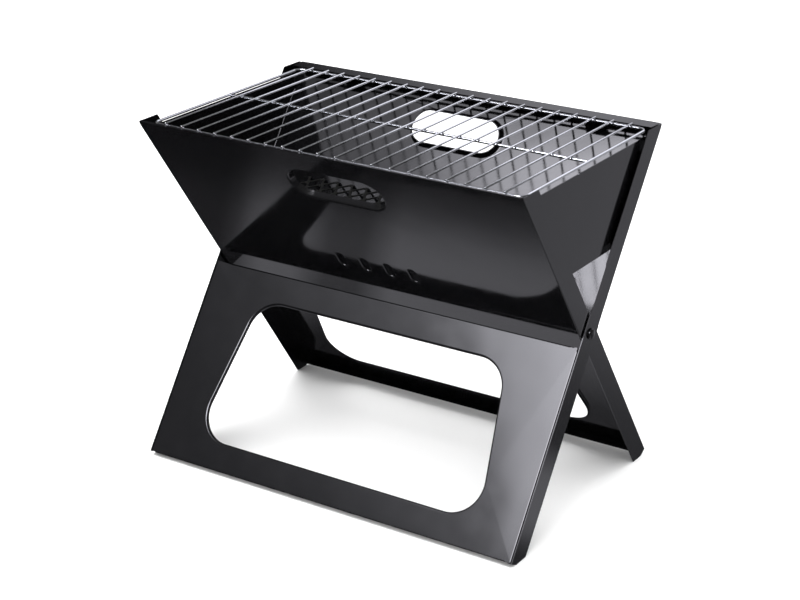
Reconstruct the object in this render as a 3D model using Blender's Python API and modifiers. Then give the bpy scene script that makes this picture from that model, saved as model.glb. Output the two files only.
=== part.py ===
"""Folding camp grill: two sheet-metal frames crossed like an X, with a drop-in firebox and a wire grid.

The outer frame carries the rear fire wall and runs down to the front feet. The inner frame carries the
front fire wall and runs down to the rear feet. Both turn on two rivets. Metres, +Z up, origin on the
ground below the pivots, +X along the pivot line, the front towards -Y.
"""

from math import asin, atan2, cos, pi, radians, sin, tan

import bmesh
import bpy
from mathutils import Vector

# Frames
FRAME_LENGTH = 0.450
SHEET = 0.0008
GAP = 0.0003
TILT = radians(35.0)
PIVOT_HEIGHT = 0.194
RIM_HEIGHT = 0.375
STRAP_HALF = 0.013
INNER_STRAP_EDGE = 0.0115
BEND = 0.0010
BEND_ANGLE = radians(25.0)
MERGE = 0.00001
WALL_START = 0.012
WALL_LOW = -0.0145
PANEL_START = 0.019
PANEL_END = 0.240
CORNER_RELIEF = 0.0035
FOOT_SETBACK = 0.0105

# Pressed openings and turned edges
HANDLE_SPAN = 0.180
HANDLE_WIDTH = 0.105
HANDLE_DROP = 0.036
VENT_SPAN = 0.053
VENT_WIDTH = 0.0090
VENT_DROP = 0.0215
VENT_PITCH = 0.0294
VENT_COUNT = 4
HANDLE_RIM = 0.0060
WINDOW_RIM = 0.0035
VENT_RIM = 0.0018
WINDOW_TOP = 0.0505
WINDOW_BOTTOM = 0.2095
WINDOW_HALF_TOP = 0.152
WINDOW_HALF_BOTTOM = 0.176
WINDOW_RADIUS = 0.034
REAR_LIP = 0.0205
FRONT_LIP = 0.0040
FOOT_FLANGE = 0.014
TOP_FLANGE = 0.004
TOP_FLANGE_HALF = 0.2185
PANEL_SIDE = 0.020

# Pivots
RIVET_SHANK = 0.0030
RIVET_HOLE = 0.0033
RIVET_HEAD = 0.0058
RIVET_RISE = 0.0034
TAIL_HEAD = 0.0045
TAIL_RISE = 0.0014
WASHER_RADIUS = 0.0062
TURN_STEPS = 24
HOLE_STEPS = 12
DOME_STEPS = 5

# Cooking grid
GRID_HALF = 0.2145
GRID_SHIFT_X = 0.0045
GRID_FRONT = -0.1345
GRID_BACK = 0.1185
GRID_HEIGHT = 0.373
GRID_CORNER = 0.009
RING_RADIUS = 0.0015
BAR_RADIUS = 0.0011
BAR_COUNT = 20
BAR_PITCH = 0.0207
BAR_OVERHANG = 0.0030
REST_HALF = 0.0125
REST_X = 0.150
REST_DROP = 0.012
FRONT_REST_REACH = 0.0085
REAR_REST_REACH = 0.0230

# Firebox inserts
END_PLATE_TOP = 0.366
END_PLATE_BOTTOM = 0.267
END_PLATE_X = 0.2197
END_PLATE_NOTCH = 0.1212
END_PLATE_FLANGE = 0.012
GRATE_TOP = 0.2705
GRATE_THICKNESS = 0.0015
GRATE_HALF = 0.1600
GRATE_COLUMNS = 8
GRATE_ROWS = 3
GRATE_BAR = 0.005
SLIDE_GAP = 0.0005

OUTER_X = FRAME_LENGTH / 2
NESTING = SHEET + GAP
SPACER = 0.0014
INNER_X = OUTER_X - SHEET - SPACER
PIVOT = Vector((0.0, 0.0, PIVOT_HEIGHT))
ENAMEL = (0.012, 0.012, 0.013)
CHROME = (0.78, 0.79, 0.81)
STEEL = (0.42, 0.42, 0.44)


def clear_scene():
    for item in list(bpy.data.objects):
        bpy.data.objects.remove(item, do_unlink=True)


def new_collection(name):
    collection = bpy.data.collections.new(name)
    bpy.context.scene.collection.children.link(collection)
    return collection


def finish_object(item, colour, roughness, metallic):
    """Gives the object its own material and puts it in the grill's collection."""
    for holder in list(item.users_collection):
        holder.objects.unlink(item)
    PARTS.objects.link(item)
    material = bpy.data.materials.new(item.name + "_material")
    material.use_nodes = True
    shader = material.node_tree.nodes["Principled BSDF"]
    shader.inputs["Base Color"].default_value = (*colour, 1.0)
    shader.inputs["Roughness"].default_value = roughness
    shader.inputs["Metallic"].default_value = metallic
    item.data.materials.clear()
    item.data.materials.append(material)
    return item


# ---------------------------------------------------------------- outlines

def arc(centre, radius, start, end, steps):
    """Points of a circular arc in a plane, both ends included."""
    turns = [start + (end - start) * i / steps for i in range(steps + 1)]
    return [(centre[0] + radius * cos(t), centre[1] + radius * sin(t)) for t in turns]


def oblong(centre, width, height, steps=6):
    """A slot with round ends, lying along whichever side is longer."""
    cx, cy = centre
    if width >= height:
        radius, reach = height / 2, (width - height) / 2
        right = arc((cx + reach, cy), radius, -pi / 2, pi / 2, steps)
        left = arc((cx - reach, cy), radius, pi / 2, 3 * pi / 2, steps)
        return right + left
    radius, reach = width / 2, (height - width) / 2
    top = arc((cx, cy + reach), radius, 0.0, pi, steps)
    bottom = arc((cx, cy - reach), radius, pi, 2 * pi, steps)
    return top + bottom


def rounded(corners, radius, steps=6):
    """A convex outline, given counter-clockwise, with every corner rounded to one radius."""
    points = []
    count = len(corners)
    for i, corner in enumerate(corners):
        here = Vector(corner)
        before = (Vector(corners[i - 1]) - here).normalized()
        after = (Vector(corners[(i + 1) % count]) - here).normalized()
        half = before.angle(after) / 2
        centre = here + (before + after).normalized() * radius / sin(half)
        start = atan2(*reversed(here + before * radius / tan(half) - centre))
        sweep = pi - 2 * half
        points += arc(centre, radius, start, start + sweep, steps)
    return points


def window_outline():
    """The trapezoid opening of a leg panel, in x and distance below the pivot."""
    corners = [
        (-WINDOW_HALF_BOTTOM, -WINDOW_BOTTOM),
        (WINDOW_HALF_BOTTOM, -WINDOW_BOTTOM),
        (WINDOW_HALF_TOP, -WINDOW_TOP),
        (-WINDOW_HALF_TOP, -WINDOW_TOP),
    ]
    return rounded(corners, WINDOW_RADIUS, 8)


def level_cut(height, depth):
    """Where a level plane at this height cuts a strap, at this depth across it."""
    return (height - PIVOT_HEIGHT + depth * sin(TILT)) / cos(TILT)


def strap_outline(free_edge):
    """A side strap from its level top to its level foot, as depth across it and distance along it."""
    top = level_cut(RIM_HEIGHT, STRAP_HALF)
    foot_start = -STRAP_HALF + FOOT_SETBACK
    return [
        (STRAP_HALF, WALL_START),
        (STRAP_HALF, top - CORNER_RELIEF),
        (STRAP_HALF - BEND, level_cut(RIM_HEIGHT, STRAP_HALF - BEND) - BEND),
        (STRAP_HALF - 2 * BEND, level_cut(RIM_HEIGHT, STRAP_HALF - 2 * BEND)),
        (-free_edge, level_cut(RIM_HEIGHT, -free_edge)),
        (-free_edge, 0.0),
        (-STRAP_HALF, -WALL_START),
        (-STRAP_HALF, -PANEL_END),
        (foot_start, level_cut(0.0, foot_start)),
        (free_edge, level_cut(0.0, free_edge)),
        (free_edge, 0.0),
    ]


# ---------------------------------------------------------------- sheet metal

def add_loop(bm, points):
    verts = [bm.verts.new(point) for point in points]
    return [bm.edges.new(pair) for pair in zip(verts, verts[1:] + verts[:1])]


def fill(bm, outline, holes=()):
    """A flat face with holes; returns the edge loops of the holes."""
    edges = add_loop(bm, outline)
    loops = [add_loop(bm, hole) for hole in holes]
    every = edges + [edge for loop in loops for edge in loop]
    bmesh.ops.triangle_fill(bm, edges=every, use_beauty=True)
    return loops


def turn_edge(bm, loop, offset):
    """Turns the edge of an opening inwards, like a pressed rim."""
    grown = bmesh.ops.extrude_edge_only(bm, edges=loop)
    verts = [v for v in grown["geom"] if isinstance(v, bmesh.types.BMVert)]
    bmesh.ops.translate(bm, verts=verts, vec=offset)


def sheet_object(name, bm, outward, bend=BEND):
    """Closes an open surface into sheet metal: the surface is the outside, the sheet lies inside it."""
    bmesh.ops.remove_doubles(bm, verts=bm.verts, dist=MERGE)
    bmesh.ops.recalc_face_normals(bm, faces=bm.faces)
    facing = max(bm.faces, key=lambda face: face.calc_area() * abs(face.normal.dot(outward)))
    if facing.normal.dot(outward) < 0:
        bmesh.ops.reverse_faces(bm, faces=bm.faces)
    mesh = bpy.data.meshes.new(name)
    bm.to_mesh(mesh)
    bm.free()
    item = bpy.data.objects.new(name, mesh)
    if bend:
        rounding = item.modifiers.new("bends", "BEVEL")
        rounding.width = bend
        rounding.segments = 2
        rounding.limit_method = "ANGLE"
        rounding.angle_limit = BEND_ANGLE
    skin = item.modifiers.new("sheet", "SOLIDIFY")
    skin.thickness = SHEET
    skin.solidify_mode = "NON_MANIFOLD"
    skin.nonmanifold_thickness_mode = "CONSTRAINTS"
    skin.nonmanifold_boundary_mode = "FLAT"
    skin.offset = -1.0
    return finish_object(item, ENAMEL, 0.25, 0.0)


def hinged(item, tilt):
    """Puts a piece drawn in strap coordinates onto the pivot axis, leaning by its frame's tilt."""
    item.location = PIVOT
    item.rotation_euler = (tilt, 0.0, 0.0)
    return item


def fire_wall(name, side, edge_x, strap_edge, lip, vents):
    """A fire wall with its two long straps. side is +1 for the rear wall and -1 for the front one."""
    bm = bmesh.new()
    top = level_cut(RIM_HEIGHT, STRAP_HALF)
    lip_half = INNER_X - SHEET - 2 * GAP
    depth = side * STRAP_HALF
    outline = [
        (-lip_half, WALL_LOW), (lip_half, WALL_LOW), (lip_half, WALL_START), (edge_x, WALL_START),
        (edge_x, top - CORNER_RELIEF), (lip_half, top), (-lip_half, top),
        (-edge_x, top - CORNER_RELIEF), (-edge_x, WALL_START), (-lip_half, WALL_START),
    ]
    handle = oblong((0.0, HANDLE_SPAN), HANDLE_WIDTH, HANDLE_DROP)
    first = -VENT_PITCH * (VENT_COUNT - 1) / 2
    slots = []
    if vents:
        centres = [first + VENT_PITCH * i for i in range(VENT_COUNT)]
        slots = [oblong((x, VENT_SPAN), VENT_WIDTH, VENT_DROP, 4) for x in centres]
    flat = [[(x, depth, s) for x, s in hole] for hole in [handle] + slots]
    loops = fill(bm, [(x, depth, s) for x, s in outline], flat)
    turn_edge(bm, loops[0], (0.0, -side * HANDLE_RIM, 0.0))
    for loop in loops[1:]:
        turn_edge(bm, loop, (0.0, -side * VENT_RIM, 0.0))
    drop = Vector((0.0, -side * cos(TILT), -sin(TILT))) * lip
    corners = [Vector((x, depth, top)) for x in (-lip_half, lip_half)]
    fill(bm, [corners[0], corners[1], corners[1] + drop, corners[0] + drop])
    for end in (-1, 1):
        strap = [(end * edge_x, side * d, s) for d, s in strap_outline(strap_edge)]
        hole = [(end * edge_x, y, z) for y, z in arc((0, 0), RIVET_HOLE, 0, 2 * pi, HOLE_STEPS)[:-1]]
        fill(bm, strap, [hole])
    return sheet_object(name, bm, Vector((0.0, side, 0.0)))


def leg_panel(name, side, edge_x):
    """The panel between two legs. side is +1 for the rear frame's front panel, -1 for the other."""
    bm = bmesh.new()
    depth = -side * STRAP_HALF
    foot_half = INNER_X - SHEET - NESTING - 2 * SHEET
    outline = [
        (-edge_x, -PANEL_END), (-foot_half, -PANEL_END), (foot_half, -PANEL_END),
        (edge_x, -PANEL_END), (edge_x, -PANEL_START), (TOP_FLANGE_HALF, -PANEL_START),
        (-TOP_FLANGE_HALF, -PANEL_START), (-edge_x, -PANEL_START),
    ]
    window = [(x, depth, s) for x, s in window_outline()]
    loops = fill(bm, [(x, depth, s) for x, s in outline], [window])
    turn_edge(bm, loops[0], (0.0, side * WINDOW_RIM, 0.0))
    inwards = Vector((0.0, side * cos(TILT), sin(TILT))) * FOOT_FLANGE
    low = [Vector((x, depth, -PANEL_END)) for x in (-foot_half, foot_half)]
    fill(bm, [low[0], low[1], low[1] + inwards, low[0] + inwards])
    turned_in = Vector((0.0, side * TOP_FLANGE, 0.0))
    high = [Vector((x, depth, -PANEL_START)) for x in (-TOP_FLANGE_HALF, TOP_FLANGE_HALF)]
    fill(bm, [high[0], high[1], high[1] + turned_in, high[0] + turned_in])
    reach = depth + side * PANEL_SIDE
    for end in (-1, 1):
        x = end * edge_x
        flange = [
            (x, depth, -PANEL_END), (x, depth, -PANEL_START),
            (x, reach, -PANEL_START - STRAP_HALF), (x, reach, -PANEL_END + STRAP_HALF),
        ]
        fill(bm, flange)
    return sheet_object(name, bm, Vector((0.0, -side, 0.0)))


def wall_face(height):
    """Distance of a wall's inner face from the middle plane, at this height."""
    return tan(TILT) * (height - PIVOT_HEIGHT) + (STRAP_HALF - SHEET) / cos(TILT)


def grid_rest(name, side, x, reach):
    """A bent tab inside a fire wall: a level ledge for the grid's wire, with a leg down the wall."""
    bm = bmesh.new()
    ledge = GRID_HEIGHT - RING_RADIUS - GAP
    top = side * (wall_face(ledge) - GAP / cos(TILT))
    low = ledge - REST_DROP * cos(TILT)
    foot = side * (wall_face(low) - GAP / cos(TILT))
    ends = (x - REST_HALF, x + REST_HALF)
    fill(bm, [(ends[0], top, ledge), (ends[1], top, ledge),
              (ends[1], top - side * reach, ledge), (ends[0], top - side * reach, ledge)])
    fill(bm, [(ends[0], top, ledge), (ends[1], top, ledge),
              (ends[1], foot, low), (ends[0], foot, low)])
    return sheet_object(name, bm, Vector((0.0, 0.0, 1.0)), 0.0)


# ---------------------------------------------------------------- turned pieces

def turned(name, profile, colour, roughness, metallic):
    """A solid of revolution about its own Z axis, from a profile of radius and height."""
    bm = bmesh.new()
    verts = [bm.verts.new((radius, 0.0, height)) for radius, height in profile]
    for pair in zip(verts, verts[1:]):
        bm.edges.new(pair)
    mesh = bpy.data.meshes.new(name)
    bm.to_mesh(mesh)
    bm.free()
    item = bpy.data.objects.new(name, mesh)
    spin = item.modifiers.new("turn", "SCREW")
    spin.steps = TURN_STEPS
    spin.render_steps = TURN_STEPS
    spin.use_merge_vertices = True
    spin.merge_threshold = MERGE
    spin.use_smooth_shade = True
    return finish_object(item, colour, roughness, metallic)


def pivot_rivet(name, end):
    """Domed outer head, shank through both straps, and a flat formed head inside the washer."""
    bore = (RIVET_HEAD ** 2 + RIVET_RISE ** 2) / (2 * RIVET_RISE)
    sweep = asin(RIVET_HEAD / bore)
    head_seat = OUTER_X + GAP
    tail_seat = INNER_X - SHEET - SHEET - 2 * GAP
    crown = head_seat + RIVET_RISE
    turns = [sweep * i / DOME_STEPS for i in range(DOME_STEPS + 1)]
    dome = [(bore * sin(turn), crown - bore * (1 - cos(turn))) for turn in turns]
    profile = dome + [
        (RIVET_SHANK, head_seat), (RIVET_SHANK, tail_seat),
        (TAIL_HEAD, tail_seat), (TAIL_HEAD, tail_seat - TAIL_RISE), (0.0, tail_seat - TAIL_RISE),
    ]
    item = turned(name, profile, ENAMEL, 0.3, 0.0)
    item.location = PIVOT
    item.rotation_euler = (0.0, end * pi / 2, 0.0)
    return item


def washer(name, end, outer_face, thickness):
    """A flat ring on the pivot axis."""
    profile = [
        (RIVET_HOLE, outer_face), (WASHER_RADIUS, outer_face),
        (WASHER_RADIUS, outer_face - thickness), (RIVET_HOLE, outer_face - thickness),
        (RIVET_HOLE, outer_face),
    ]
    item = turned(name, profile, STEEL, 0.35, 1.0)
    item.location = PIVOT
    item.rotation_euler = (0.0, end * pi / 2, 0.0)
    return item


# ---------------------------------------------------------------- wires

def wire(name, points, radius, cyclic):
    curve = bpy.data.curves.new(name, "CURVE")
    curve.dimensions = "3D"
    curve.bevel_depth = radius
    curve.bevel_resolution = 2
    curve.use_fill_caps = True
    spline = curve.splines.new("POLY")
    spline.points.add(len(points) - 1)
    for point, place in zip(spline.points, points):
        point.co = (*place, 1.0)
    spline.use_cyclic_u = cyclic
    return finish_object(bpy.data.objects.new(name, curve), CHROME, 0.15, 1.0)


def grid_frame():
    corners = [
        (GRID_SHIFT_X - GRID_HALF, GRID_FRONT), (GRID_SHIFT_X + GRID_HALF, GRID_FRONT),
        (GRID_SHIFT_X + GRID_HALF, GRID_BACK), (GRID_SHIFT_X - GRID_HALF, GRID_BACK),
    ]
    ring = rounded(corners, GRID_CORNER, 5)
    wire("grid_frame_wire", [(x, y, GRID_HEIGHT) for x, y in ring], RING_RADIUS, True)


def grid_cross_wire():
    middle = (GRID_FRONT + GRID_BACK) / 2
    reach = GRID_HALF - 2 * RING_RADIUS - GAP
    ends = [(GRID_SHIFT_X + side * reach, middle, GRID_HEIGHT) for side in (-1, 1)]
    wire("grid_cross_wire", ends, RING_RADIUS, False)


def grid_bars():
    height = GRID_HEIGHT + RING_RADIUS + GAP + BAR_RADIUS
    first = GRID_SHIFT_X - BAR_PITCH * (BAR_COUNT - 1) / 2
    for i in range(BAR_COUNT):
        x = first + BAR_PITCH * i
        ends = [(x, GRID_FRONT - BAR_OVERHANG, height), (x, GRID_BACK + BAR_OVERHANG, height)]
        wire(f"grid_bar_{i + 1:02d}", ends, BAR_RADIUS, False)


# ---------------------------------------------------------------- firebox inserts

def end_plate(name, end):
    """A trapezoid notched below the rear lip, with a flange along each sloping wall it drops between."""
    bm = bmesh.new()
    x = end * END_PLATE_X
    notch = PIVOT_HEIGHT + (END_PLATE_NOTCH + SLIDE_GAP - (STRAP_HALF - SHEET) / cos(TILT)) / tan(TILT)
    low = wall_face(END_PLATE_BOTTOM) - SLIDE_GAP
    front = -(wall_face(END_PLATE_TOP) - SLIDE_GAP)
    fill(bm, [
        (x, -low, END_PLATE_BOTTOM), (x, low, END_PLATE_BOTTOM), (x, END_PLATE_NOTCH, notch),
        (x, END_PLATE_NOTCH, END_PLATE_TOP), (x, front, END_PLATE_TOP),
    ])
    inner = x - end * END_PLATE_FLANGE
    slopes = [(low, END_PLATE_NOTCH, notch), (-low, front, END_PLATE_TOP)]
    for y_low, y_high, z_high in slopes:
        fill(bm, [
            (x, y_low, END_PLATE_BOTTOM), (x, y_high, z_high),
            (inner, y_high, z_high), (inner, y_low, END_PLATE_BOTTOM),
        ])
    return sheet_object(name, bm, Vector((end, 0.0, 0.0)), 0.0)


def charcoal_grate():
    """A level grate that wedges between the walls, drawn with plain rectangular openings."""
    half_y = wall_face(GRATE_TOP - GRATE_THICKNESS) - SLIDE_GAP
    cell_x = 2 * GRATE_HALF / GRATE_COLUMNS
    cell_y = 2 * half_y / GRATE_ROWS
    outline = [(-GRATE_HALF, -half_y), (GRATE_HALF, -half_y), (GRATE_HALF, half_y), (-GRATE_HALF, half_y)]
    holes = []
    for column in range(GRATE_COLUMNS):
        for row in range(GRATE_ROWS):
            left = -GRATE_HALF + cell_x * column + GRATE_BAR / 2
            front = -half_y + cell_y * row + GRATE_BAR / 2
            right = left + cell_x - GRATE_BAR
            back = front + cell_y - GRATE_BAR
            holes.append([(left, front), (right, front), (right, back), (left, back)])
    bm = bmesh.new()
    flat = [[(x, y, GRATE_TOP) for x, y in hole] for hole in holes]
    fill(bm, [(x, y, GRATE_TOP) for x, y in outline], flat)
    item = sheet_object("charcoal_grate", bm, Vector((0.0, 0.0, 1.0)), 0.0)
    item.modifiers["sheet"].thickness = GRATE_THICKNESS
    return item


# ---------------------------------------------------------------- assembly

def outer_frame():
    wall = fire_wall("rear_fire_wall", 1, OUTER_X, STRAP_HALF, REAR_LIP, False)
    panel = leg_panel("front_leg_panel", 1, OUTER_X - NESTING)
    for item in (wall, panel):
        hinged(item, -TILT)


def inner_frame():
    wall = fire_wall("front_fire_wall", -1, INNER_X, INNER_STRAP_EDGE, FRONT_LIP, True)
    panel = leg_panel("rear_leg_panel", -1, INNER_X - NESTING)
    for item in (wall, panel):
        hinged(item, TILT)


def pivots():
    for end, word in ((-1, "left"), (1, "right")):
        pivot_rivet(f"pivot_rivet_{word}", end)
        washer(f"pivot_spacer_{word}", end, OUTER_X - SHEET - GAP, SPACER - 2 * GAP)
        washer(f"pivot_washer_{word}", end, INNER_X - SHEET - GAP, SHEET)


def grid_rests():
    for end, word in ((-1, "left"), (1, "right")):
        grid_rest(f"front_grid_rest_{word}", -1, end * REST_X, FRONT_REST_REACH)
        grid_rest(f"rear_grid_rest_{word}", 1, end * REST_X, REAR_REST_REACH)


clear_scene()
PARTS = new_collection("folding_camp_grill")
outer_frame()
inner_frame()
pivots()
grid_rests()
grid_frame()
grid_cross_wire()
grid_bars()
end_plate("end_plate_left", -1)
end_plate("end_plate_right", 1)
charcoal_grate()
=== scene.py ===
"""Folding camp grill: the looks. Fine sheet metal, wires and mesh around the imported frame, in metres."""
from math import atan2, cos, pi, radians, sin, tan

import bmesh
import bpy
from mathutils import Matrix, Vector


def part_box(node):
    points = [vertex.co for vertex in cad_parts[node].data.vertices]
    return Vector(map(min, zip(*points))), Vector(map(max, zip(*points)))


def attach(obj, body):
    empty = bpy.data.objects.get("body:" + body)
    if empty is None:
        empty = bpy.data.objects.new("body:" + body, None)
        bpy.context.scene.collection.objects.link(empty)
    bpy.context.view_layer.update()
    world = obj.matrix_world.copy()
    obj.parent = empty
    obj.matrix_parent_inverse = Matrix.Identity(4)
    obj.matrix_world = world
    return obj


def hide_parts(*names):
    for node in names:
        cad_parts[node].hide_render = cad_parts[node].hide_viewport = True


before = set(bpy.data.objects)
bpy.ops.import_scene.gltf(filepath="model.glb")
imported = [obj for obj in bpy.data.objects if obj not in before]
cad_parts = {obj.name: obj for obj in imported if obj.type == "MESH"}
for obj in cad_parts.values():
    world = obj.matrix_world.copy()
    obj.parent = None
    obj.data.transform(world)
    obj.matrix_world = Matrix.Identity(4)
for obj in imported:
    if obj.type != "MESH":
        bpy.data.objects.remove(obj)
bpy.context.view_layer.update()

# The frame's own sizes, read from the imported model
PIVOT = Vector((0.0, 0.0, sum(corner.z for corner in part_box("pivot_rivet_left")) / 2))
OUTER_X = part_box("rear_fire_wall")[1].x
INNER_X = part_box("front_fire_wall")[1].x
RIM_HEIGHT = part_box("rear_fire_wall")[1].z
FRONT_PANEL_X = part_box("front_leg_panel")[1].x
REAR_PANEL_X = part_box("rear_leg_panel")[1].x

# Sheet metal
TILT = radians(35.0)
SHEET = 0.0008
BEND = 0.0010
PANEL_BEND = 0.0018
BEND_STEPS = 4
BEND_ANGLE = radians(25.0)
CUT_EDGE = 0.00018
CUT_STEPS = 2
CUT_ANGLE = radians(60.0)
SHEET_CREASE = radians(50.0)
WIRE_CREASE = radians(40.0)
MERGE = 0.00001
RIVET_MERGE = 0.000001
GAP = 0.0003
STRAP_HALF = 0.0130
INNER_STRAP_EDGE = 0.0115
WALL_START = 0.012
WALL_LOW = -0.0145
PANEL_START = 0.019
PANEL_END = 0.240
CORNER_RELIEF = 0.0035
FOOT_SETBACK = 0.0105
REAR_LIP = 0.0205
FRONT_LIP = 0.0040
FOOT_FLANGE = 0.014
TOP_FLANGE = 0.004
TOP_FLANGE_HALF = 0.2185
PANEL_SIDE = 0.020
PLATE_FLANGE = 0.012
SLIDE_GAP = 0.0005

# Openings
HANDLE_SPAN = 0.180
HANDLE_WIDTH = 0.105
HANDLE_DROP = 0.036
VENT_SPAN = 0.053
VENT_WIDTH = 0.0090
VENT_DROP = 0.0215
VENT_PITCH = 0.0294
VENT_COUNT = 4
HANDLE_RIM = 0.0060
HANDLE_ROUND = 0.0025
WINDOW_RIM = 0.0035
WINDOW_ROUND = 0.0022
RIM_ANGLE = radians(62.0)
SQUARE_ANGLE = radians(90.0)
VENT_ANGLE = radians(82.0)
VENT_RIM = 0.0018
VENT_ROUND = 0.0013
HANDLE_STEPS = 24
VENT_STEPS = 10
WINDOW_STEPS = 20
RIM_STEPS = 6
WINDOW_TOP = 0.0505
WINDOW_BOTTOM = 0.2095
WINDOW_HALF_TOP = 0.152
WINDOW_HALF_BOTTOM = 0.176
WINDOW_RADIUS = 0.034

# Wires, grate and rivets
GRID_CORNER = 0.009
RING_STEPS = 10
WIRE_SIDES = 20
TIP_STEPS = 4
TIP_ROUND = 0.45
GRATE_ROWS = 8
GRATE_PERIODS = 17
STRAND = 0.0045
BOND = 0.0036
WELD_SHAPE = Vector((1.25, 1.25, 0.6))
WELD_SEGMENTS = 16
WELD_RINGS = 10
RIVET_SIDES = 48
RIVET_SHANK = 0.0030
TAIL_HEAD = 0.0045
TAIL_RISE = 0.0014
HEAD_EDGE = 0.0006
DOME_STEPS = 14

# Camera
LENS = 84.0
SENSOR_WIDTH = 36.0
CAMERA_PLACE = (0.98477, -1.53068, 0.91438)
CAMERA_TURN = (radians(68.04), radians(-0.12), radians(32.77))

# Light. Each list of stops gives a card's glow as pairs of a place in metres and a level.
WHITE = (1.0, 1.0, 1.0)
COOL = (0.98, 0.975, 1.06)
WORLD_STRENGTH = 1.5
ROOM_RADIUS = 20.0
ROOM_STRENGTH = 0.22
FLOOR_SIZE = 30.0
LAMP_SIZE = 3.0
LAMP_POWER = 135.0
LAMP_PLACE = (-0.6, -0.8, 3.0)
LAMP_TURN = (radians(-14.0), radians(-10.0), 0.0)
SOFTBOX_STRENGTH = 20.0
SOFTBOX_LOW = (-7.5, -8.0)
SOFTBOX_HIGH = (3.5, 1.5)
SOFTBOX_HEIGHT = 5.0
SOFTBOX_ALONG_X = [
    (-7.5, 0.018), (-5.8, 0.020), (-5.0, 0.035), (-4.15, 0.075), (-3.9, 0.11), (-3.8, 0.115), (-3.7, 0.12),
    (-3.6, 0.15), (-3.5, 0.33), (-2.0, 1.0),
]
SOFTBOX_ALONG_Y = [(-8.0, 0.8), (-6.0, 1.0), (-3.9, 1.0), (-3.2, 0.035), (1.5, 0.02)]
FLOOR_GLOW_STRENGTH = 0.75
FLOOR_GLOW_LOW = (-3.0, -3.0)
FLOOR_GLOW_HIGH = (3.0, 3.0)
FLOOR_GLOW_HEIGHT = -0.002
# Painted shade in the reflected floor: the dips paint the shadows of the left straps, of the front panel
# and of the rear legs on the floor, and it is darker towards the far left.
FLOOR_PAINTED_SHADE_ALONG_X = [
    (-0.36, 0.10), (-0.31, 0.85), (-0.25, 0.85), (-0.22, 0.35), (-0.16, 0.35), (-0.12, 0.95),
]
FLOOR_PAINTED_SHADE_ALONG_Y = [
    (-0.12, 0.18), (-0.10, 0.30), (-0.06, 1.0), (0.04, 1.0), (0.12, 0.2), (0.22, 0.25), (0.5, 0.65),
]
BACK_PANEL_STRENGTH = 1.8
BACK_PANEL_LOW = (-6.0, 0.2)
BACK_PANEL_HIGH = (4.0, 5.2)
BACK_PANEL_DISTANCE = 6.0
BACK_PANEL_ALONG_X = [(-6.0, 0.05), (-4.5, 0.05), (-3.7, 0.5), (-3.0, 1.0), (4.0, 0.9)]
BACK_PANEL_ALONG_Z = [(0.2, 0.1), (1.0, 0.38), (2.6, 0.40), (3.2, 1.0), (5.2, 1.0)]


# ---------------------------------------------------------------- materials

def new_material(name):
    """A node material, its Principled shader and a maker of linked nodes."""
    material = bpy.data.materials.new(name)
    material.use_nodes = True
    tree = material.node_tree

    def add(kind, inputs=None, **settings):
        node = tree.nodes.new(kind)
        for key, value in settings.items():
            setattr(node, key, value)
        for key, value in (inputs or {}).items():
            if isinstance(value, bpy.types.NodeSocket):
                tree.links.new(value, node.inputs[key])
            else:
                node.inputs[key].default_value = value
        return node

    return material, tree.nodes["Principled BSDF"], add, tree.links.new


def ranged(add, value, low, high):
    """Maps a noise value onto a range, and returns the socket."""
    node = add("ShaderNodeMapRange", {"Value": value, "From Min": 0.3, "From Max": 0.7,
                                      "To Min": low, "To Max": high})
    return node.outputs["Result"]


def mixed(add, factor, first, second):
    """Blends two colours by a noise value, and returns the socket."""
    node = add("ShaderNodeMix", data_type="RGBA")
    colours = [socket for socket in node.inputs if socket.type == "RGBA"]
    node.id_data.links.new(factor, node.inputs[0])
    colours[0].default_value = (*first, 1.0)
    colours[1].default_value = (*second, 1.0)
    return next(socket for socket in node.outputs if socket.type == "RGBA")


def black_enamel():
    """Glossy black powder coat: faint orange peel, slow waves in the sheet, a little dust."""
    material, shader, add, link = new_material("black_enamel")
    place = add("ShaderNodeTexCoord").outputs["Object"]
    peel = add("ShaderNodeTexNoise", {"Vector": place, "Scale": 900.0, "Detail": 2.0})
    waves = add("ShaderNodeTexNoise", {"Vector": place, "Scale": 14.0, "Detail": 1.0})
    patches = add("ShaderNodeTexNoise", {"Vector": place, "Scale": 45.0, "Detail": 5.0})
    slow = add("ShaderNodeBump", {"Height": waves.outputs["Fac"], "Strength": 0.25, "Distance": 0.0012})
    fine = add("ShaderNodeBump", {"Height": peel.outputs["Fac"], "Strength": 0.06, "Distance": 0.0001,
                                  "Normal": slow.outputs["Normal"]})
    link(fine.outputs["Normal"], shader.inputs["Normal"])
    link(mixed(add, patches.outputs["Fac"], (0.0016, 0.0016, 0.0019), (0.0030, 0.0030, 0.0034)),
         shader.inputs["Base Color"])
    link(ranged(add, patches.outputs["Fac"], 0.06, 0.11), shader.inputs["Roughness"])
    shader.inputs["Specular IOR Level"].default_value = 0.44
    return material


def chrome():
    """Bright plated wire, with faint drawing marks and a slightly uneven skin."""
    material, shader, add, link = new_material("chromed_wire")
    place = add("ShaderNodeTexCoord").outputs["Object"]
    skin = add("ShaderNodeTexNoise", {"Vector": place, "Scale": 350.0, "Detail": 4.0})
    tone = add("ShaderNodeTexNoise", {"Vector": place, "Scale": 60.0, "Detail": 3.0})
    bump = add("ShaderNodeBump", {"Height": skin.outputs["Fac"], "Strength": 0.12, "Distance": 0.0001})
    link(bump.outputs["Normal"], shader.inputs["Normal"])
    link(mixed(add, tone.outputs["Fac"], (0.50, 0.51, 0.53), (0.62, 0.63, 0.65)),
         shader.inputs["Base Color"])
    link(ranged(add, skin.outputs["Fac"], 0.10, 0.22), shader.inputs["Roughness"])
    shader.inputs["Metallic"].default_value = 1.0
    return material


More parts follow.
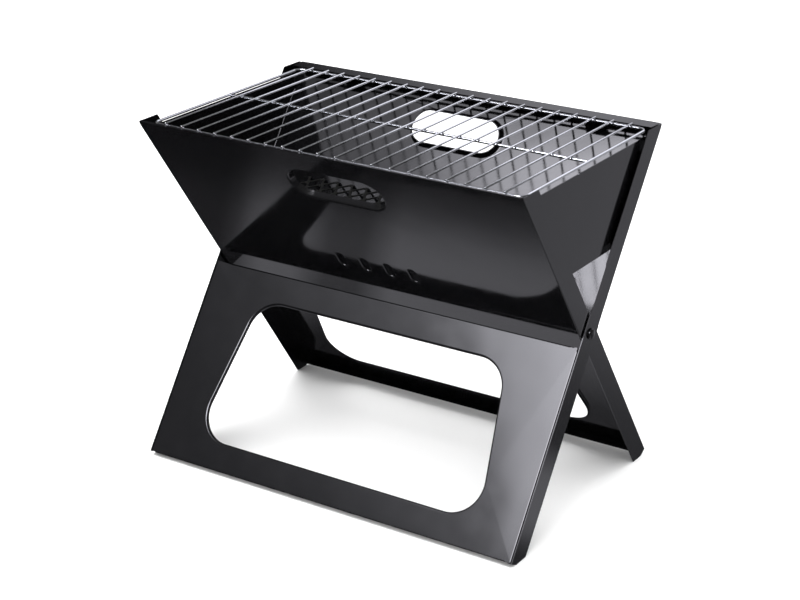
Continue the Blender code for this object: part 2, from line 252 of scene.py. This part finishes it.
def zinc():
    """Dull zinc plate with fine turning marks."""
    material, shader, add, link = new_material("zinc_steel")
    place = add("ShaderNodeTexCoord").outputs["Object"]
    grain = add("ShaderNodeTexNoise", {"Vector": place, "Scale": 1200.0, "Detail": 3.0})
    bump = add("ShaderNodeBump", {"Height": grain.outputs["Fac"], "Strength": 0.2, "Distance": 0.0001})
    link(bump.outputs["Normal"], shader.inputs["Normal"])
    link(mixed(add, grain.outputs["Fac"], (0.33, 0.34, 0.35), (0.47, 0.47, 0.48)),
         shader.inputs["Base Color"])
    link(ranged(add, grain.outputs["Fac"], 0.28, 0.42), shader.inputs["Roughness"])
    shader.inputs["Metallic"].default_value = 1.0
    return material


def grate_paint():
    """Heat-proof black paint on expanded steel, matt and slightly uneven."""
    material, shader, add, link = new_material("grate_steel")
    place = add("ShaderNodeTexCoord").outputs["Object"]
    grain = add("ShaderNodeTexNoise", {"Vector": place, "Scale": 500.0, "Detail": 4.0})
    bump = add("ShaderNodeBump", {"Height": grain.outputs["Fac"], "Strength": 0.3, "Distance": 0.0002})
    link(bump.outputs["Normal"], shader.inputs["Normal"])
    link(mixed(add, grain.outputs["Fac"], (0.003, 0.003, 0.003), (0.008, 0.008, 0.007)),
         shader.inputs["Base Color"])
    link(ranged(add, grain.outputs["Fac"], 0.55, 0.80), shader.inputs["Roughness"])
    shader.inputs["Specular IOR Level"].default_value = 0.15
    return material


# ---------------------------------------------------------------- outlines

def arc(centre, radius, start, end, steps):
    """Points along a round stretch, both ends included."""
    turns = [start + (end - start) * i / steps for i in range(steps + 1)]
    return [(centre[0] + radius * cos(t), centre[1] + radius * sin(t)) for t in turns]


def oblong(centre, width, height, grow, steps):
    """A slot with round ends along its longer side, made wider all round by grow."""
    cx, cy = centre
    radius = min(width, height) / 2
    if width >= height:
        reach = width / 2 - radius
        ends = [((cx + reach, cy), -pi / 2), ((cx - reach, cy), pi / 2)]
    else:
        reach = height / 2 - radius
        ends = [((cx, cy + reach), 0.0), ((cx, cy - reach), pi)]
    return [p for end, turn in ends for p in arc(end, radius + grow, turn, turn + pi, steps)]


def window(grow):
    """The trapezoid opening of a leg panel with its round corners, in x and distance along the leg."""
    corners = [
        Vector((-WINDOW_HALF_BOTTOM, -WINDOW_BOTTOM)), Vector((WINDOW_HALF_BOTTOM, -WINDOW_BOTTOM)),
        Vector((WINDOW_HALF_TOP, -WINDOW_TOP)), Vector((-WINDOW_HALF_TOP, -WINDOW_TOP)),
    ]
    points = []
    for i, here in enumerate(corners):
        before = (corners[i - 1] - here).normalized()
        after = (corners[(i + 1) % 4] - here).normalized()
        half = before.angle(after) / 2
        centre = here + (before + after).normalized() * WINDOW_RADIUS / sin(half)
        start = atan2(*reversed(here + before * WINDOW_RADIUS / tan(half) - centre))
        points += arc(centre, WINDOW_RADIUS + grow, start, start + pi - 2 * half, WINDOW_STEPS)
    return points


def wall_face(height):
    """Distance of a fire wall's inner face from the middle plane, at this height."""
    return tan(TILT) * (height - PIVOT.z) + (STRAP_HALF - SHEET) / cos(TILT)


def level_cut(height, depth):
    """Where a level plane at this height cuts a strap, at this depth across it."""
    return (height - PIVOT.z + depth * sin(TILT)) / cos(TILT)


def strap_outline(edge):
    """A side strap from its level top to its level foot, as depth across it and distance along it."""
    foot_start = -STRAP_HALF + FOOT_SETBACK
    return [
        (STRAP_HALF, WALL_START),
        (STRAP_HALF, level_cut(RIM_HEIGHT, STRAP_HALF) - CORNER_RELIEF),
        (STRAP_HALF - BEND, level_cut(RIM_HEIGHT, STRAP_HALF - BEND) - BEND),
        (STRAP_HALF - 2 * BEND, level_cut(RIM_HEIGHT, STRAP_HALF - 2 * BEND)),
        (-edge, level_cut(RIM_HEIGHT, -edge)),
        (-edge, 0.0),
        (-STRAP_HALF, -WALL_START),
        (-STRAP_HALF, -PANEL_END),
        (foot_start, level_cut(0.0, foot_start)),
        (edge, level_cut(0.0, edge)),
        (edge, 0.0),
    ]


# ---------------------------------------------------------------- pieces

def mesh_from(name, bm):
    """A mesh from a finished bmesh, which is then freed."""
    mesh = bpy.data.meshes.new(name)
    bm.to_mesh(mesh)
    bm.free()
    return mesh


def new_object(name, mesh):
    """An object that shows a mesh, linked into the scene."""
    item = bpy.data.objects.new(name, mesh)
    bpy.context.scene.collection.objects.link(item)
    return item


def add_piece(name, mesh, material, body, replaced):
    """A finished piece in one material, riding on a body in place of the frame's own nodes."""
    mesh.materials.append(material)
    item = new_object(name, mesh)
    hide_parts(*replaced)
    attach(item, body)
    return item


def frozen(item):
    """The mesh an object shows with its modifiers, and the object removed."""
    bpy.context.view_layer.update()
    shown = item.evaluated_get(bpy.context.evaluated_depsgraph_get())
    mesh = bpy.data.meshes.new_from_object(shown)
    bpy.data.objects.remove(item)
    return mesh


def ease_cut_edges(item):
    """Takes the sharpness off the cut edges of a sheet."""
    eased = item.modifiers.new("cut_edges", "BEVEL")
    eased.width = CUT_EDGE
    eased.segments = CUT_STEPS
    eased.limit_method = "ANGLE"
    eased.angle_limit = CUT_ANGLE


def smooth_piece(name, bm, material, body, replaced):
    """A finished wire or rivet: smooth, with a crease only at its sharpest edges."""
    bmesh.ops.recalc_face_normals(bm, faces=bm.faces)
    mesh = mesh_from(name, bm)
    mesh.shade_smooth()
    mesh.set_sharp_from_angle(angle=WIRE_CREASE)
    add_piece(name, mesh, material, body, replaced)


# ---------------------------------------------------------------- sheet metal

def add_loop(bm, points):
    """A closed loop of edges through the points."""
    verts = [bm.verts.new(point) for point in points]
    return [bm.edges.new(pair) for pair in zip(verts, verts[1:] + verts[:1])]


def fill(bm, outline, holes=()):
    """A flat face inside an outline, open at its holes."""
    edges = add_loop(bm, outline)
    for hole in holes:
        edges += add_loop(bm, hole)
    bmesh.ops.triangle_fill(bm, edges=edges, use_beauty=True)


def rim_reach(drop, rounding, angle):
    """How far an opening's rim reaches outside the opening, in the plane of the sheet."""
    return rounding * sin(angle) + (drop - rounding * (1 - cos(angle))) / tan(angle)


def pressed_rim(bm, outline, depth, inwards, drop, rounding, angle):
    """Rolls the edge of an opening inwards: a round up to the angle, then a straight slope."""
    reach = rim_reach(drop, rounding, angle)
    profile = [(reach - rounding * sin(t), rounding * (1 - cos(t)))
               for t in (angle * i / RIM_STEPS for i in range(RIM_STEPS + 1))]
    profile.append((0.0, drop))
    rows = []
    for grow, sink in profile:
        rows.append([bm.verts.new((x, depth + inwards * sink, s)) for x, s in outline(grow)])
    for near, far in zip(rows, rows[1:]):
        for i in range(len(near)):
            bm.faces.new((near[i - 1], near[i], far[i], far[i - 1]))


def sheet_mesh(name, bm, outward, bend):
    """Sheet metal from an open surface: round bends, thickness, eased edges and clean shading."""
    bmesh.ops.remove_doubles(bm, verts=bm.verts, dist=MERGE)
    bmesh.ops.recalc_face_normals(bm, faces=bm.faces)
    facing = max(bm.faces, key=lambda face: face.calc_area() * abs(face.normal.dot(outward)))
    if facing.normal.dot(outward) < 0:
        bmesh.ops.reverse_faces(bm, faces=bm.faces)
    item = new_object(name, mesh_from(name, bm))
    rounding = item.modifiers.new("bends", "BEVEL")
    rounding.width = bend
    rounding.segments = BEND_STEPS
    rounding.limit_method = "ANGLE"
    rounding.angle_limit = BEND_ANGLE
    skin = item.modifiers.new("sheet", "SOLIDIFY")
    skin.thickness = SHEET
    skin.solidify_mode = "NON_MANIFOLD"
    skin.nonmanifold_thickness_mode = "CONSTRAINTS"
    skin.nonmanifold_boundary_mode = "FLAT"
    skin.offset = -1.0
    ease_cut_edges(item)
    mesh = frozen(item)
    mesh.name = name
    mesh.shade_smooth()
    mesh.set_sharp_from_angle(angle=SHEET_CREASE)
    return mesh


def sheet_piece(name, bm, outward, tilt, body, replaced, bend=BEND):
    """A finished sheet. With a tilt it was drawn in strap coordinates, and is put onto the pivot axis."""
    mesh = sheet_mesh(name, bm, outward, bend)
    if tilt:
        mesh.transform(Matrix.Translation(PIVOT) @ Matrix.Rotation(tilt, 4, "X"))
    item = add_piece(name, mesh, ENAMEL, body, replaced)
    shading = item.modifiers.new("flat_faces", "WEIGHTED_NORMAL")
    shading.keep_sharp = True


def fire_wall(name, side, edge_x, edge, lip, vents, body, replaced):
    """A fire wall with its two long straps. side is +1 for the rear wall and -1 for the front one."""
    bm = bmesh.new()
    top = level_cut(RIM_HEIGHT, STRAP_HALF)
    lip_half = INNER_X - SHEET - 2 * GAP
    depth = side * STRAP_HALF
    openings = [(lambda grow: oblong((0.0, HANDLE_SPAN), HANDLE_WIDTH, HANDLE_DROP, grow, HANDLE_STEPS),
                 (HANDLE_RIM, HANDLE_ROUND, RIM_ANGLE))]
    first = -VENT_PITCH * (VENT_COUNT - 1) / 2
    for i in range(VENT_COUNT if vents else 0):
        centre = (first + VENT_PITCH * i, VENT_SPAN)
        openings.append((lambda grow, at=centre: oblong(at, VENT_WIDTH, VENT_DROP, grow, VENT_STEPS),
                         (VENT_RIM, VENT_ROUND, VENT_ANGLE)))
    outline = [
        (-lip_half, WALL_LOW), (lip_half, WALL_LOW), (lip_half, WALL_START), (edge_x, WALL_START),
        (edge_x, top - CORNER_RELIEF), (lip_half, top), (-lip_half, top),
        (-edge_x, top - CORNER_RELIEF), (-edge_x, WALL_START), (-lip_half, WALL_START),
    ]
    holes = [[(x, depth, s) for x, s in shape(rim_reach(*rim))] for shape, rim in openings]
    fill(bm, [(x, depth, s) for x, s in outline], holes)
    for shape, rim in openings:
        pressed_rim(bm, shape, depth, -side, *rim)
    down = Vector((0.0, -side * cos(TILT), -sin(TILT))) * lip
    corners = [Vector((x, depth, top)) for x in (-lip_half, lip_half)]
    fill(bm, [corners[0], corners[1], corners[1] + down, corners[0] + down])
    for end in (-1, 1):
        fill(bm, [(end * edge_x, side * d, s) for d, s in strap_outline(edge)])
    sheet_piece(name, bm, Vector((0.0, side, 0.0)), -side * TILT, body, replaced)


def leg_panel(name, side, edge_x, body, replaced):
    """The panel between two legs. side is +1 for the rear frame's front panel, -1 for the other."""
    bm = bmesh.new()
    depth = -side * STRAP_HALF
    foot_half = REAR_PANEL_X - 2 * SHEET
    outline = [
        (-edge_x, -PANEL_END), (-foot_half, -PANEL_END), (foot_half, -PANEL_END),
        (edge_x, -PANEL_END), (edge_x, -PANEL_START), (TOP_FLANGE_HALF, -PANEL_START),
        (-TOP_FLANGE_HALF, -PANEL_START), (-edge_x, -PANEL_START),
    ]
    rim = (WINDOW_RIM, WINDOW_ROUND, SQUARE_ANGLE)
    hole = [(x, depth, s) for x, s in window(rim_reach(*rim))]
    fill(bm, [(x, depth, s) for x, s in outline], [hole])
    pressed_rim(bm, window, depth, side, *rim)
    inwards = Vector((0.0, side * cos(TILT), sin(TILT))) * FOOT_FLANGE
    low = [Vector((x, depth, -PANEL_END)) for x in (-foot_half, foot_half)]
    fill(bm, [low[0], low[1], low[1] + inwards, low[0] + inwards])
    turned_in = Vector((0.0, side * TOP_FLANGE, 0.0))
    high = [Vector((x, depth, -PANEL_START)) for x in (-TOP_FLANGE_HALF, TOP_FLANGE_HALF)]
    fill(bm, [high[0], high[1], high[1] + turned_in, high[0] + turned_in])
    reach = depth + side * PANEL_SIDE
    for end in (-1, 1):
        x = end * edge_x
        fill(bm, [(x, depth, -PANEL_END), (x, depth, -PANEL_START),
                  (x, reach, -PANEL_START - STRAP_HALF), (x, reach, -PANEL_END + STRAP_HALF)])
    sheet_piece(name, bm, Vector((0.0, -side, 0.0)), -side * TILT, body, replaced, PANEL_BEND)


def end_plate(word, end):
    """A trapezoid notched below the rear lip, with a flange along each sloping wall it drops between."""
    node = "end_plate_" + word
    low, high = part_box(node)
    x = end * max(abs(low.x), abs(high.x))
    inner = x - end * PLATE_FLANGE
    foot = wall_face(low.z) - SLIDE_GAP
    front = -(wall_face(high.z) - SLIDE_GAP)
    notch = PIVOT.z + (high.y + SLIDE_GAP - (STRAP_HALF - SHEET) / cos(TILT)) / tan(TILT)
    bm = bmesh.new()
    fill(bm, [(x, -foot, low.z), (x, foot, low.z), (x, high.y, notch), (x, high.y, high.z),
              (x, front, high.z)])
    for y_low, y_high, z_high in [(foot, high.y, notch), (-foot, front, high.z)]:
        fill(bm, [(x, y_low, low.z), (x, y_high, z_high), (inner, y_high, z_high), (inner, y_low, low.z)])
    sheet_piece("plate_" + word, bm, Vector((end, 0.0, 0.0)), 0.0, node, [node])


# ---------------------------------------------------------------- wires, grate and rivets

def round_wire(bm, points, radius, closed):
    """A smooth round wire along points that lie in a level plane or on a line, with eased ends."""
    path = [Vector(point) for point in points]
    count = len(path)
    stations = []
    for i, place in enumerate(path):
        before = path[i - 1] if closed or i else place
        after = path[(i + 1) % count] if closed or i < count - 1 else place
        stations.append((place, (after - before).normalized(), radius))
    if not closed:
        steps = [(sin(t), cos(t)) for t in (pi / 2 * i / TIP_STEPS for i in range(1, TIP_STEPS))]
        first, last = stations[0], stations[-1]
        tip = TIP_ROUND * radius
        stations[0] = (first[0] + first[1] * tip, first[1], radius)
        stations[-1] = (last[0] - last[1] * tip, last[1], radius)
        start = [(first[0] + first[1] * tip * (1 - a), first[1], radius * (1 - TIP_ROUND * (1 - b)))
                 for a, b in reversed(steps)]
        end = [(last[0] - last[1] * tip * (1 - a), last[1], radius * (1 - TIP_ROUND * (1 - b)))
               for a, b in steps]
        stations = start + stations + end
    rings = []
    for place, ahead, size in stations:
        across = ahead.cross(Vector((0.0, 0.0, 1.0))).normalized()
        turns = [2 * pi * k / WIRE_SIDES for k in range(WIRE_SIDES)]
        rings.append([bm.verts.new(place + (across * cos(t) + Vector((0.0, 0.0, sin(t)))) * size)
                      for t in turns])
    pairs = list(zip(rings, rings[1:] + rings[:1])) if closed else list(zip(rings, rings[1:]))
    for near, far in pairs:
        for k in range(WIRE_SIDES):
            bm.faces.new((near[k - 1], near[k], far[k], far[k - 1]))
    if not closed:
        bm.faces.new(rings[0])
        bm.faces.new(rings[-1])


def weld_blob(bm, place, size):
    """The small flattened bead where two wires are fused."""
    made = bmesh.ops.create_uvsphere(bm, u_segments=WELD_SEGMENTS, v_segments=WELD_RINGS, radius=1.0)
    for vert in made["verts"]:
        vert.co = Vector((vert.co.x * size.x, vert.co.y * size.y, vert.co.z * size.z)) + place


def cooking_grid():
    """The ring wire with round corners, the cross wire, and twenty bars welded on top of them."""
    low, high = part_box("grid_frame_wire")
    ring_radius = (high.z - low.z) / 2
    height = (high.z + low.z) / 2
    left, right = low.x + ring_radius, high.x - ring_radius
    front, back = low.y + ring_radius, high.y - ring_radius
    inner = GRID_CORNER
    bends = [((right - inner, front + inner), -pi / 2), ((right - inner, back - inner), 0.0),
             ((left + inner, back - inner), pi / 2), ((left + inner, front + inner), pi)]
    ring = [p for centre, turn in bends for p in arc(centre, inner, turn, turn + pi / 2, RING_STEPS)]
    bm = bmesh.new()
    round_wire(bm, [(x, y, height) for x, y in ring], ring_radius, True)
    smooth_piece("grid_ring", bm, CHROME, "cooking_grid", ["grid_frame_wire"])
    middle = (front + back) / 2
    bm = bmesh.new()
    round_wire(bm, [(left, middle, height), (right, middle, height)], ring_radius, False)
    smooth_piece("grid_cross", bm, CHROME, "cooking_grid", ["grid_cross_wire"])
    bars = [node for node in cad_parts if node.startswith("grid_bar_")]
    for node in sorted(bars):
        low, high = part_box(node)
        radius = (high.x - low.x) / 2
        x = (low.x + high.x) / 2
        level = (low.z + high.z) / 2
        bm = bmesh.new()
        round_wire(bm, [(x, low.y, level), (x, high.y, level)], radius, False)
        contact = (level - radius + height + ring_radius) / 2
        for y in (front, middle, back):
            weld_blob(bm, Vector((x, y, contact)), WELD_SHAPE * radius)
        smooth_piece(node.replace("grid_bar", "bar"), bm, CHROME, "cooking_grid", [node])


def expanded_grate():
    """Expanded steel: zigzag strands that meet at short bonds, so the openings are diamonds."""
    low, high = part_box("charcoal_grate")
    pitch_y = (high.y - low.y) / GRATE_ROWS
    swing = (pitch_y - STRAND) / 2
    half_period = (high.x - low.x) / (2 * GRATE_PERIODS)
    bm = bmesh.new()
    for row in range(GRATE_ROWS):
        centre = low.y + pitch_y * (row + 0.5)
        line = []
        for i in range(2 * GRATE_PERIODS + 1):
            level = centre + (swing if (i + row) % 2 else -swing)
            x = low.x + half_period * i
            line += [(max(low.x, x - BOND / 2), level), (min(high.x, x + BOND / 2), level)]
        lower = [bm.verts.new((x, y - STRAND / 2, high.z)) for x, y in line]
        upper = [bm.verts.new((x, y + STRAND / 2, high.z)) for x, y in line]
        for i in range(len(line) - 1):
            bm.faces.new((lower[i], lower[i + 1], upper[i + 1], upper[i]))
    bmesh.ops.remove_doubles(bm, verts=bm.verts, dist=MERGE)
    item = new_object("expanded_grate", mesh_from("expanded_grate", bm))
    skin = item.modifiers.new("sheet", "SOLIDIFY")
    skin.thickness = high.z - low.z
    skin.offset = -1.0
    eased = item.modifiers.new("cut_edges", "BEVEL")
    eased.width = CUT_EDGE
    eased.limit_method = "ANGLE"
    add_piece("expanded_grate", frozen(item), GRATE, "charcoal_grate", ["charcoal_grate"])


def rivet(word, end, body):
    """A domed head on the outer strap, the shank, and the flattened head inside the washer."""
    node = "pivot_rivet_" + word
    low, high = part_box(node)
    outer = max(abs(low.x), abs(high.x))
    inner = min(abs(low.x), abs(high.x))
    radius = (high.z - low.z) / 2
    seat = OUTER_X + GAP
    rise = outer - seat
    dome = [(radius * sin(t), seat + HEAD_EDGE + (rise - HEAD_EDGE) * cos(t))
            for t in (pi / 2 * i / DOME_STEPS for i in range(DOME_STEPS + 1))]
    tail_seat = inner + TAIL_RISE
    profile = dome + [(radius, seat + HEAD_EDGE / 3), (radius - HEAD_EDGE / 3, seat),
                      (RIVET_SHANK, seat), (RIVET_SHANK, tail_seat), (TAIL_HEAD, tail_seat),
                      (TAIL_HEAD, inner + TAIL_RISE / 3), (TAIL_HEAD - TAIL_RISE / 3, inner), (0.0, inner)]
    bm = bmesh.new()
    rows = []
    for size, x in profile:
        turns = [2 * pi * k / RIVET_SIDES for k in range(RIVET_SIDES)]
        rows.append([bm.verts.new((end * x, size * cos(t), PIVOT.z + size * sin(t))) for t in turns])
    for near, far in zip(rows, rows[1:]):
        for k in range(RIVET_SIDES):
            bm.faces.new((near[k - 1], near[k], far[k], far[k - 1]))
    bmesh.ops.remove_doubles(bm, verts=bm.verts, dist=RIVET_MERGE)
    smooth_piece("rivet_" + word, bm, ENAMEL, body, [node])


# ---------------------------------------------------------------- stage

def camera():
    """The photographer's view: a long lens, a little above the rim, from the front right."""
    data = bpy.data.cameras.new("camera")
    data.lens = LENS
    data.sensor_width = SENSOR_WIDTH
    item = bpy.data.objects.new("camera", data)
    item.location = CAMERA_PLACE
    item.rotation_euler = CAMERA_TURN
    bpy.context.scene.collection.objects.link(item)
    bpy.context.scene.camera = item


def plane(name, centre, width, depth):
    """A level rectangle of the stage."""
    bpy.ops.mesh.primitive_plane_add(size=1.0, location=centre)
    item = bpy.context.object
    item.name = name
    item.scale = (width, depth, 1.0)
    return item


def floor():
    """White paper under the grill, which the black enamel doesn't reflect; the enamel sees the painted
    floor reflection card instead.
    """
    item = plane("floor", (0.0, 0.0, 0.0), FLOOR_SIZE, FLOOR_SIZE)
    material, shader, add, link = new_material("floor_paper")
    place = add("ShaderNodeTexCoord").outputs["Object"]
    grain = add("ShaderNodeTexNoise", {"Vector": place, "Scale": 60.0, "Detail": 2.0})
    link(mixed(add, grain.outputs["Fac"], (0.86, 0.86, 0.86), (0.88, 0.88, 0.88)),
         shader.inputs["Base Color"])
    shader.inputs["Roughness"].default_value = 0.9
    shader.inputs["Specular IOR Level"].default_value = 0.0
    item.data.materials.append(material)
    item.visible_glossy = False


def ramp_of(tree, value, stops, tint):
    """A colour ramp over a coordinate, from stops of place and level, in one tint."""
    ramp = tree.nodes.new("ShaderNodeValToRGB")
    tree.links.new(value, ramp.inputs["Fac"])
    elements = ramp.color_ramp.elements
    while len(elements) < len(stops):
        elements.new(0.5)
    for element, (place, level) in zip(elements, stops):
        element.position = place
        element.color = (*(level * part for part in tint), 1.0)
    return ramp.outputs["Color"]


def only_in_reflections(item):
    """Hides a glowing surface from the camera, from matt surfaces and from shadows."""
    item.visible_camera = False
    item.visible_diffuse = False
    item.visible_shadow = False


def card(name, low, high, level, along_x, along_y, strength, upright=False):
    """A glowing card seen only in reflections. Its glow follows stops given in metres along both sides.

    A level card spans X and Y at a height. An upright one spans X and Z at a distance along Y.
    """
    centre = [(a + b) / 2 for a, b in zip(low, high)]
    size = [b - a for a, b in zip(low, high)]
    place = (centre[0], level, centre[1]) if upright else (*centre, level)
    item = plane(name, place, *size)
    item.rotation_euler.x = pi / 2 if upright else 0.0
    material = bpy.data.materials.new(name)
    material.use_nodes = True
    tree = material.node_tree
    tree.nodes.clear()
    place = tree.nodes.new("ShaderNodeTexCoord")
    split = tree.nodes.new("ShaderNodeSeparateXYZ")
    both = tree.nodes.new("ShaderNodeMix")
    glow = tree.nodes.new("ShaderNodeEmission")
    out = tree.nodes.new("ShaderNodeOutputMaterial")
    tree.links.new(place.outputs["Generated"], split.inputs["Vector"])
    both.data_type = "RGBA"
    both.blend_type = "MULTIPLY"
    both.inputs[0].default_value = 1.0
    colours = [socket for socket in both.inputs if socket.type == "RGBA"]
    for i, (stops, tint) in enumerate([(along_x, COOL), (along_y, WHITE)]):
        placed = [((at - low[i]) / size[i], glow_there) for at, glow_there in stops]
        tree.links.new(ramp_of(tree, split.outputs[i], placed, tint), colours[i])
    mixed_colour = next(socket for socket in both.outputs if socket.type == "RGBA")
    tree.links.new(mixed_colour, glow.inputs["Color"])
    tree.links.new(glow.outputs["Emission"], out.inputs["Surface"])
    glow.inputs["Strength"].default_value = strength
    item.data.materials.append(material)
    only_in_reflections(item)


def room():
    """The dim room around the stage, which only reflections see."""
    bpy.ops.mesh.primitive_uv_sphere_add(radius=ROOM_RADIUS)
    item = bpy.context.object
    item.name = "room"
    material = bpy.data.materials.new("room")
    material.use_nodes = True
    tree = material.node_tree
    tree.nodes.clear()
    glow = tree.nodes.new("ShaderNodeEmission")
    out = tree.nodes.new("ShaderNodeOutputMaterial")
    tree.links.new(glow.outputs["Emission"], out.inputs["Surface"])
    glow.inputs["Strength"].default_value = ROOM_STRENGTH
    item.data.materials.append(material)
    only_in_reflections(item)


def studio():
    """A lamp and a softbox overhead, a glow behind the grill, a painted reflection of the floor with
    painted shadows under it, and a dim room around it all.
    """
    world = bpy.data.worlds.new("studio")
    bpy.context.scene.world = world
    world.use_nodes = True
    world.node_tree.nodes["Background"].inputs["Color"].default_value = (*WHITE, 1.0)
    world.node_tree.nodes["Background"].inputs["Strength"].default_value = WORLD_STRENGTH
    world.cycles_visibility.glossy = False
    card("softbox", SOFTBOX_LOW, SOFTBOX_HIGH, SOFTBOX_HEIGHT,
         SOFTBOX_ALONG_X, SOFTBOX_ALONG_Y, SOFTBOX_STRENGTH)
    # Painted reflection of the floor, with the grill's shadows painted in, seen only in reflections.
    card("painted_floor_reflection", FLOOR_GLOW_LOW, FLOOR_GLOW_HIGH, FLOOR_GLOW_HEIGHT,
         FLOOR_PAINTED_SHADE_ALONG_X, FLOOR_PAINTED_SHADE_ALONG_Y, FLOOR_GLOW_STRENGTH)
    card("back_panel", BACK_PANEL_LOW, BACK_PANEL_HIGH, BACK_PANEL_DISTANCE,
         BACK_PANEL_ALONG_X, BACK_PANEL_ALONG_Z, BACK_PANEL_STRENGTH, upright=True)
    room()
    lamp = bpy.data.lights.new("overhead", "AREA")
    lamp.shape = "RECTANGLE"
    lamp.size = LAMP_SIZE
    lamp.size_y = LAMP_SIZE
    lamp.energy = LAMP_POWER
    item = bpy.data.objects.new("overhead", lamp)
    item.location = LAMP_PLACE
    item.rotation_euler = LAMP_TURN
    item.visible_glossy = False
    bpy.context.scene.collection.objects.link(item)
    bpy.context.scene.view_settings.view_transform = "Standard"


ENAMEL = black_enamel()
CHROME = chrome()
ZINC = zinc()
GRATE = grate_paint()


def finish_of(node):
    """The finish of a carried-over part of the frame, by its name."""
    if node.startswith("grid_"):
        return CHROME
    if node.startswith(("pivot_spacer", "pivot_washer")):
        return ZINC
    return GRATE if node == "charcoal_grate" else ENAMEL


camera()
floor()
studio()
for node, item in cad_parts.items():
    item.data.materials.clear()
    item.data.materials.append(finish_of(node))

fire_wall("rear_wall", 1, OUTER_X, STRAP_HALF, REAR_LIP, False, "outer_frame", ["rear_fire_wall"])
fire_wall("front_wall", -1, INNER_X, INNER_STRAP_EDGE, FRONT_LIP, True, "inner_frame", ["front_fire_wall"])
leg_panel("front_legs", 1, FRONT_PANEL_X, "outer_frame", ["front_leg_panel"])
leg_panel("rear_legs", -1, REAR_PANEL_X, "inner_frame", ["rear_leg_panel"])
cooking_grid()
expanded_grate()
end_plate("left", -1)
end_plate("right", 1)
rivet("left", -1, "outer_frame")
rivet("right", 1, "outer_frame")
for node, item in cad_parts.items():
    if "grid_rest" in node:
        ease_cut_edges(item)
